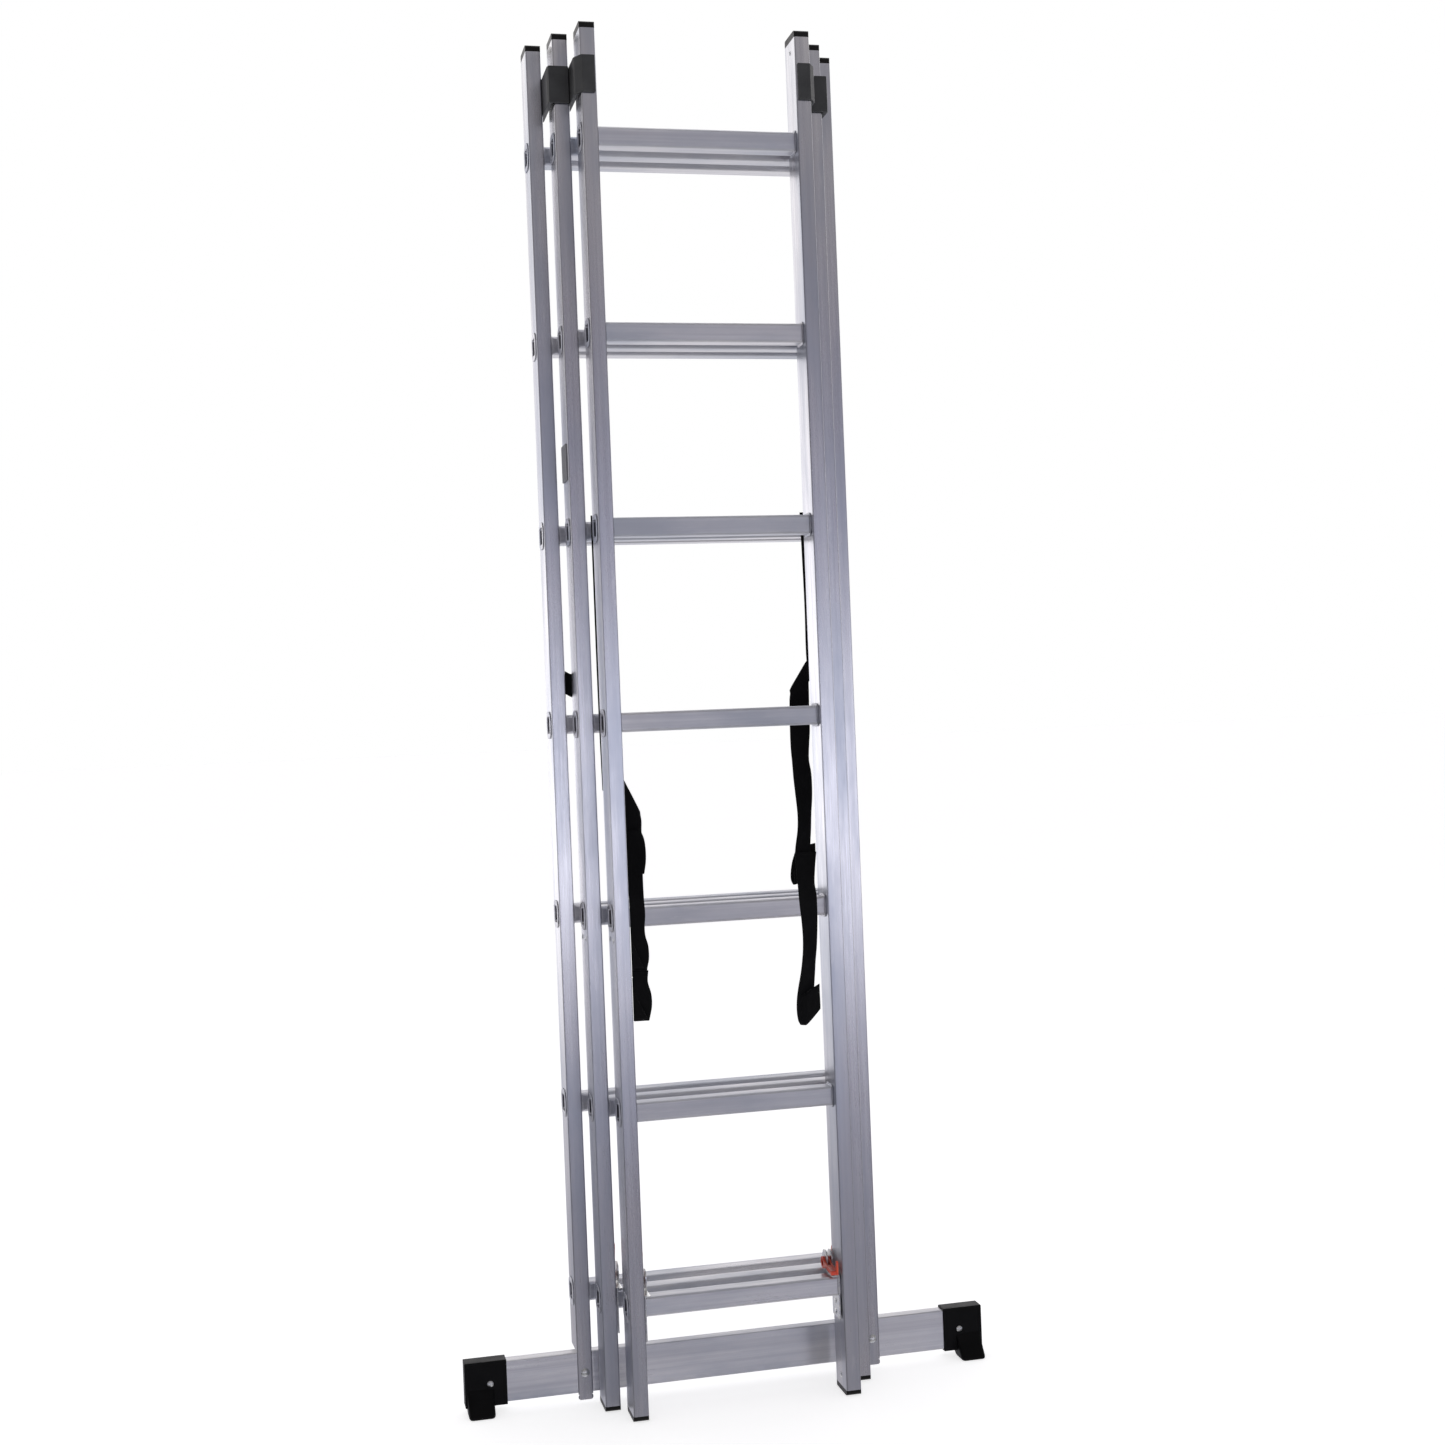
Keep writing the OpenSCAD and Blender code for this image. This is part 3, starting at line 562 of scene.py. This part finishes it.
def slab(bm, low, high):
    """A closed box from low to high, in millimetres."""
    corner = [Vector((x, y, z)) / MM for x in (low[0], high[0]) for y in (low[1], high[1])
              for z in (low[2], high[2])]
    verts = [bm.verts.new(c) for c in corner]
    for ring in ((0, 1, 3, 2), (4, 6, 7, 5), (0, 4, 5, 1), (2, 3, 7, 6), (0, 2, 6, 4), (1, 5, 7, 3)):
        bm.faces.new([verts[i] for i in ring])


def loft(bm, slices):
    """A closed solid through slices, each a list of points in millimetres."""
    rings = [[bm.verts.new(Vector(point) / MM) for point in points] for points in slices]
    count = len(rings[0])
    for ring, following in zip(rings, rings[1:]):
        for i in range(count):
            j = (i + 1) % count
            bm.faces.new((ring[i], ring[j], following[j], following[i]))
    bm.faces.new(rings[0][::-1])
    bm.faces.new(rings[-1])


def circle(radius, count):
    return [(radius * math.cos(math.tau * i / count), radius * math.sin(math.tau * i / count))
            for i in range(count)]


def disc(bm, centre, radius, thick):
    """A flat boss facing the front."""
    loft(bm, [[(centre[0] + x, y, centre[2] + z) for x, z in circle(radius, 32)]
              for y in (centre[1], centre[1] + thick)])


# Side view of the toe, (y, z), down its front, back along the ribbed sole and up its heel
TOE = ((28.6, 37), (26.2, 34), (24.0, 30), (21.0, 25), (17.0, 19.5), (12.0, 13.5), (7.4, 8.5), (4.2, 4.6),
       (3.4, 2.4), (4.2, 0.7), (6.0, 0.0), (9.0, 0.0), (9.6, 1.1), (11.6, 1.1), (12.2, 0.0), (16.0, 0.0),
       (16.6, 1.1), (18.6, 1.1), (19.2, 0.0), (23.0, 0.0), (23.6, 1.1), (25.6, 1.1), (26.2, 0.0), (31.3, 0.0),
       (36.0, 1.4), (40.0, 4.6), (43.0, 10.0), (43.2, 13.0), (30.0, 37.0))
TOE_ENDS = ((0, 4.2), (0.6, 2.8), (1.4, 1.6), (2.6, 0.7), (4.2, 0.15), (6, 0))      # (inset, rounding)


def toe_slice(x, rounding):
    """Side view of the toe at x, its front drawn back and its sole raised by the rounding."""
    points = []
    for y, z in TOE:
        ahead = max(0.0, (28.6 - y) / 25)
        low = max(0.0, (10 - z) / 10)
        points.append((x, y + rounding * 1.6 * ahead, z + rounding * 0.55 * low))
    return points


def make_boot(name, side):
    """A sleeve round the bar's end with a toe under it, as overlapping solids that a remesh merges."""
    low, high = (MM * corner for corner in corners("boot_right"))
    bar_low, bar_high = (MM * corner for corner in corners("stabiliser_bar"))
    screw_low, screw_high = (MM * corner for corner in corners("boot_screws"))
    x0, x1, z1 = low.x, high.x, high.z
    y0, y1, z0 = bar_low.y - BOOT_WALL, bar_high.y + BOOT_WALL, bar_low.z - BOOT_WALL
    face = y0 + RIM_RISE
    rim_back = face + RIM_RISE
    bm = bmesh.new()
    for start, end in (((x0, face, z0), (x1, bar_low.y - 0.1, z1)),                 # front wall
                       ((x0, bar_high.y + 0.1, z0), (x1, y1, z1)),                  # rear wall
                       ((x0, face, z0), (x1, y1, bar_low.z - 0.1)),                 # bottom
                       ((x0, face, bar_high.z + 0.1), (x1, y1, z1)),                # top
                       ((x1 - BOOT_WALL, face, z0), (x1, y1, z1)),                  # end
                       ((x0, y0, z0), (x0 + BOOT_RIM, rim_back, z1)),               # rim, four sides
                       ((x1 - BOOT_RIM, y0, z0), (x1, rim_back, z1)),
                       ((x0, y0, z1 - BOOT_RIM), (x1, rim_back, z1)),
                       ((x0, y0, z0), (x1, rim_back, z0 + BOOT_RIM))):
        slab(bm, start, end)
    disc(bm, (screw_high.x - BOSS_INSET, y0, (screw_low.z + screw_high.z) / 2), BOSS_R, BOSS_T)
    toe_in, toe_out = x0 + TOE_INSETS[0], x1 - TOE_INSETS[1]
    slices = [toe_slice(toe_in + inset, rounding) for inset, rounding in TOE_ENDS]
    slices += [toe_slice(toe_out - inset, rounding) for inset, rounding in TOE_ENDS[::-1]]
    loft(bm, slices)
    if side == LEFT:
        bmesh.ops.scale(bm, vec=(-1, 1, 1), verts=bm.verts)
    piece = mesh_object(f"{name}_rubber", bm, RUBBER)
    remesh = piece.modifiers.new("merge", "REMESH")
    remesh.mode = "VOXEL"
    remesh.voxel_size = BOOT_VOXEL
    remesh.use_smooth_shade = True
    soften = piece.modifiers.new("soften", "SMOOTH")
    soften.factor = 0.5
    soften.iterations = 3
    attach(piece, "back_section")
    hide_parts(name)


make_boot("boot_right", RIGHT)
make_boot("boot_left", LEFT)


# ---------------------------------------------------------------- locking levers

LEVER_TURN = {"left": 100, "right": 185}          # degrees from locked to the place at rest
LEVER_T = 0.0028                                  # thickness of the lever's arm
HUB_T = 0.0034                                    # of its hub
CHEEK_INNER = 0.0073                              # outer face to the far face of the bracket's inner cheek
WING_T = 0.0030                                   # the wing beyond that cheek
LEVER_EDGE = 0.0003                               # softened edges
LEVER_HUB = 7.6                                   # radius of the hub, in millimetres
LEVER_HOLE = 3.1                                  # of the hole for its pin
WING_HOLE = 5.4                                   # and of the wing's, which clears the pin's head

# Side views of a lever's pad, wing and arm, (along the arm, across it), in millimetres from the pivot
PAD_OUTLINE = ((21, -2.6), (30, -2.1), (40, -2.3), (46.6, -3.0), (47.6, 0.4), (46.2, 3.2), (40, 2.7),
               (30, 2.2), (21, 2.7), (20.6, 0))
WING_OUTLINE = ((7.6, 4.6), (14, 3.4), (24, 3.2), (38, 3.5), (45, 3.4), (47, 1.6), (47, -1.8), (45, -3.2),
                (30, -3.2), (16, -3.2), (8, -4.8), (4.4, -7.8), (0, -9), (-5.4, -7.2), (-8.6, -3),
                (-8.6, 3), (-5.4, 7.2), (0, 9), (4.6, 7.6))
LEVER_OUTLINE = (
    (0, 4.2), (6, 4.6), (12, 3.6), (20, 3.1), (30, 3.1), (38, 3.4), (43, 4.0), (46.4, 3.4),
    (48.3, 1.4), (48.5, -1.5), (48.4, -8), (48.0, -14), (46.6, -17.2), (44.4, -17.4), (43, -15.4),
    (42.7, -9), (41.6, -5.2), (38, -3.6), (30, -3.0), (20, -2.8), (14, -3.4), (10, -5.4),
    (6.2, -6.4), (3, -8.0), (-3, -8.2), (-7.2, -4.4), (-8.4, 0), (-7.0, 4.6), (-3.0, 8.0), (-1.2, 5.4))


def plate(bm, outline, pivot, x0, x1, turn, hole=0):
    """A plate from x0 to x1, its outline smoothed and turned about the pivot, with a round hole there."""
    loop = [Vector((y, z, 0)) for y, z in outline]
    rims = [curve_through([*loop, loop[0]], 3)[:-1]]
    if hole:
        rims.append([Vector((y, z, 0)) for y, z in circle(hole, 24)])
    edges = []
    for rim in rims:
        verts = [bm.verts.new((x0, pivot[1] + (y * math.cos(turn) - z * math.sin(turn)) / MM,
                               pivot[2] + (y * math.sin(turn) + z * math.cos(turn)) / MM))
                 for y, z, _ in rim]
        edges += [bm.edges.new((verts[i - 1], verts[i])) for i in range(len(verts))]
    filled = bmesh.ops.triangle_fill(bm, use_beauty=True, edges=edges)
    faces = [part for part in filled["geom"] if isinstance(part, bmesh.types.BMFace)]
    pushed = bmesh.ops.extrude_face_region(bm, geom=faces)
    bmesh.ops.translate(bm, vec=(x1 - x0, 0, 0),
                        verts=[part for part in pushed["geom"] if isinstance(part, bmesh.types.BMVert)])


def make_lever(section, side_name):
    """A red locking lever; a right one also wraps round its bracket's inner cheek."""
    node = f"{section}_lever_{side_name}"
    outer = corners(f"{section}_lever_right")[1].x - LEVER_EDGE
    joint = next(j for j in frame["record"]["behaviour"]["joints"]
                 if j["name"] == f"{section}_{side_name}_lever_swing")
    pivot = joint["pos_m"]
    turn = math.radians(LEVER_TURN[side_name])
    bm = bmesh.new()
    plate(bm, LEVER_OUTLINE, pivot, outer - LEVER_T, outer, turn, LEVER_HOLE)
    plate(bm, circle(LEVER_HUB, 14), pivot, outer - HUB_T, outer - LEVER_T + LEVER_EDGE, turn, LEVER_HOLE)
    if side_name == "right":        # the left levers are slim enough to hide behind their stiles
        wing = outer - CHEEK_INNER - LEVER_EDGE
        plate(bm, WING_OUTLINE, pivot, wing - WING_T, wing, turn, WING_HOLE)
        plate(bm, PAD_OUTLINE, pivot, wing - WING_T + LEVER_EDGE, outer - LEVER_EDGE, turn)
    bmesh.ops.recalc_face_normals(bm, faces=bm.faces)
    if side_name == "left":
        bmesh.ops.scale(bm, vec=(-1, 1, 1), verts=bm.verts)
        bmesh.ops.reverse_faces(bm, faces=bm.faces)
    piece = mesh_object(f"{node}_moulding", bm, RED, smooth=False)
    round_edges(piece, LEVER_EDGE, 2)
    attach(piece, f"{section}_{side_name}_lever")
    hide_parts(node)


for _section in ("middle", "front"):
    for _side_name in SIDES:
        make_lever(_section, _side_name)


# ---------------------------------------------------------------- stage, light and camera

def make_floor():
    mesh = bpy.data.meshes.new("floor")
    half = 60.0
    around = [(-half, -half, 0), (half, -half, 0), (half, half, 0), (-half, half, 0)]
    mesh.from_pydata(around, [], [(0, 1, 2, 3)])
    floor = bpy.data.objects.new("floor", mesh)
    bpy.context.collection.objects.link(floor)
    mesh.materials.append(FLOOR)
    floor.visible_glossy = False


def area_light(name, place, target, size, power, colour=(1, 1, 1)):
    data = bpy.data.lights.new(name, "AREA")
    data.shape = "RECTANGLE"
    data.size, data.size_y = size
    data.energy = power
    data.color = colour
    light = bpy.data.objects.new(name, data)
    bpy.context.collection.objects.link(light)
    light.location = place
    light.rotation_euler = (Vector(target) - Vector(place)).to_track_quat("-Z", "Y").to_euler()


def elevation(degrees):
    return math.sin(math.radians(degrees))


# Radiance of the studio by elevation in degrees, as seen in the ladder's reflections
BEFORE = ((-90, (0.55, 0.54, 0.56)), (-45, (0.42, 0.41, 0.42)), (-30, (0.30, 0.30, 0.31)),
          (-18, (0.32, 0.31, 0.34)), (-12, (0.20, 0.19, 0.24)), (-9, (0.28, 0.28, 0.36)),
          (-5, (1.48, 1.50, 1.70)), (-2, (1.66, 1.70, 1.92)), (1, (0.55, 0.57, 0.70)),
          (4, (0.38, 0.37, 0.46)), (10, (0.28, 0.27, 0.32)), (16, (0.30, 0.29, 0.31)),
          (22, (0.46, 0.44, 0.44)), (45, (0.30, 0.29, 0.30)), (90, (0.22, 0.22, 0.23)))
BEHIND = ((-90, (1.05, 1.04, 1.06)), (-30, (0.95, 0.94, 0.96)), (-17, (0.55, 0.54, 0.60)),
          (-12, (0.85, 0.84, 0.90)), (-7, (1.40, 1.39, 1.46)), (-2, (1.85, 1.84, 1.92)),
          (3, (1.70, 1.68, 1.74)), (7, (1.50, 1.47, 1.52)), (13, (1.38, 1.35, 1.38)),
          (20, (1.58, 1.55, 1.55)), (35, (0.42, 0.41, 0.43)), (90, (0.20, 0.20, 0.22)))


def make_world():
    """Plain white to the eye; in reflections, a studio with a bright band near the horizon."""
    world = bpy.data.worlds.new("studio")
    bpy.context.scene.world = world
    world.use_nodes = True
    tree = world.node_tree
    place = tree.nodes.new("ShaderNodeTexCoord")
    parts = tree.nodes.new("ShaderNodeSeparateXYZ")
    tree.links.new(place.outputs["Generated"], parts.inputs["Vector"])

    def between(value, low, high, start=0.0, end=1.0):
        node = tree.nodes.new("ShaderNodeMapRange")
        for socket, number in (("From Min", low), ("From Max", high), ("To Min", start), ("To Max", end)):
            node.inputs[socket].default_value = number
        tree.links.new(value, node.inputs["Value"])
        return node.outputs["Result"]

    def ramp(value, stops):
        node = tree.nodes.new("ShaderNodeValToRGB")
        tree.links.new(between(value, -1.0, 1.0), node.inputs["Fac"])
        elements = node.color_ramp.elements
        while len(elements) < len(stops):
            elements.new(0.5)
        for element, (at, colour) in zip(elements, stops):
            element.position = (elevation(at) + 1) / 2
            element.color = (*colour, 1)
        return node.outputs["Color"]

    def blend(factor, first, second, kind="MIX"):
        node = tree.nodes.new("ShaderNodeMix")
        node.data_type = "RGBA"
        node.blend_type = kind
        for socket, value in (("Factor", factor), ("A", first), ("B", second)):
            if isinstance(value, bpy.types.NodeSocket):
                tree.links.new(value, node.inputs[socket])
            else:
                node.inputs[socket].default_value = value
        return node.outputs["Result"]

    studio = blend(between(parts.outputs["Y"], -0.25, 0.15),
                   ramp(parts.outputs["Z"], BEFORE), ramp(parts.outputs["Z"], BEHIND))
    aside = tree.nodes.new("ShaderNodeMath")        # dimmer far to either side of the ladder
    aside.operation = "ABSOLUTE"
    tree.links.new(parts.outputs["X"], aside.inputs[0])
    for gain in (between(parts.outputs["X"], -0.6, 0.6, 0.85, 1.2),
                 between(aside.outputs["Value"], 0.55, 0.9, 1.0, 0.42)):
        grey = tree.nodes.new("ShaderNodeCombineXYZ")
        for socket in grey.inputs:
            tree.links.new(gain, socket)
        studio = blend(1.0, studio, grey.outputs["Vector"], "MULTIPLY")
    seen = tree.nodes.new("ShaderNodeLightPath").outputs["Is Camera Ray"]
    colour = blend(seen, studio, (1, 1, 1, 1))
    tree.links.new(colour, tree.nodes["Background"].inputs["Color"])


def make_camera():
    """Camera left of the ladder's middle at chest height, turned right, slightly rolled."""
    place = Vector((-0.6249, -2.7575, 1.0069))
    yaw, pitch, roll = math.radians(13.124), math.radians(-0.304), math.radians(-2.249)
    forward = Vector((math.sin(yaw) * math.cos(pitch), math.cos(yaw) * math.cos(pitch), math.sin(pitch)))
    level = Vector((math.cos(yaw), -math.sin(yaw), 0))
    raised = level.cross(forward)
    right = math.cos(roll) * level + math.sin(roll) * raised
    up = -math.sin(roll) * level + math.cos(roll) * raised
    turn = Matrix((right, up, -forward)).transposed()
    data = bpy.data.cameras.new("camera")
    data.sensor_width = 36
    data.lens = 47.53
    camera = bpy.data.objects.new("camera", data)
    bpy.context.collection.objects.link(camera)
    camera.matrix_world = Matrix.Translation(place) @ turn.to_4x4()
    bpy.context.scene.camera = camera


make_camera()
make_floor()
make_world()
area_light("overhead", (0.0, 0.6, 3.6), (0, 0, 0), (2.4, 2.4), 18)
bpy.context.scene.view_settings.view_transform = "Standard"

for _node, _piece in frame["nodes"].items():
    for _key, _width in EDGE_WIDTHS:
        if _key in _node:
            if _width:
                round_edges(_piece, _width)
            break
